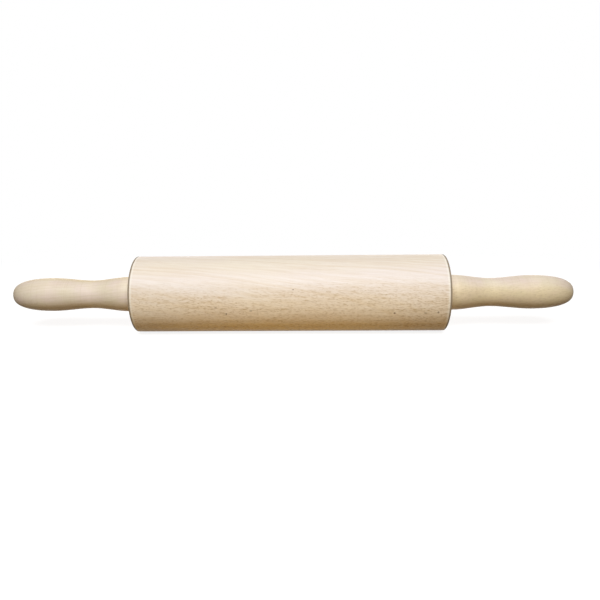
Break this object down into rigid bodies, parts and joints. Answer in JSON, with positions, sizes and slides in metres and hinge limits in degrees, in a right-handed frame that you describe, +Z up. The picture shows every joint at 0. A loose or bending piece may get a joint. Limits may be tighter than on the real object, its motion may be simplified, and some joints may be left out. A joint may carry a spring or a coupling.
{
  "type": "rolling pin",
  "caption": "Beech rolling pin with a plain cylindrical barrel that turns on a steel axle between two turned, waisted handles, for rolling out dough.",
  "frame": {"origin": "middle of the pin's axis, halfway between the two handle tips", "axes": "+X along the pin's axis towards the right handle, +Z up from the board that the barrel lies on, Y across the board in the rolling direction"},
  "size_m": [0.442, 0.06, 0.06],
  "materials": {
    "barrel_beech": "fine-sanded bare beech",
    "handle_beech": "sanded and lightly oiled beech",
    "axle_steel": "drawn rod with knurled ends",
    "bush_nylon": "natural white moulded nylon",
    "washer_steel": "tumbled"
  },
  "bodies": {
    "handles_and_axle": {"axle_rod": "axle_steel", "left_handle": "handle_beech", "right_handle": "handle_beech", "left_thrust_washer": "washer_steel", "right_thrust_washer": "washer_steel"},
    "roller": {"barrel": "barrel_beech", "left_bearing_bush": "bush_nylon", "right_bearing_bush": "bush_nylon"}
  },
  "joints": [
    {"name": "barrel_spin", "type": "hinge", "parent": "handles_and_axle", "child": "roller", "pos_m": [0, 0, 0], "axis": [1, 0, 0], "continuous": true}
  ]
}
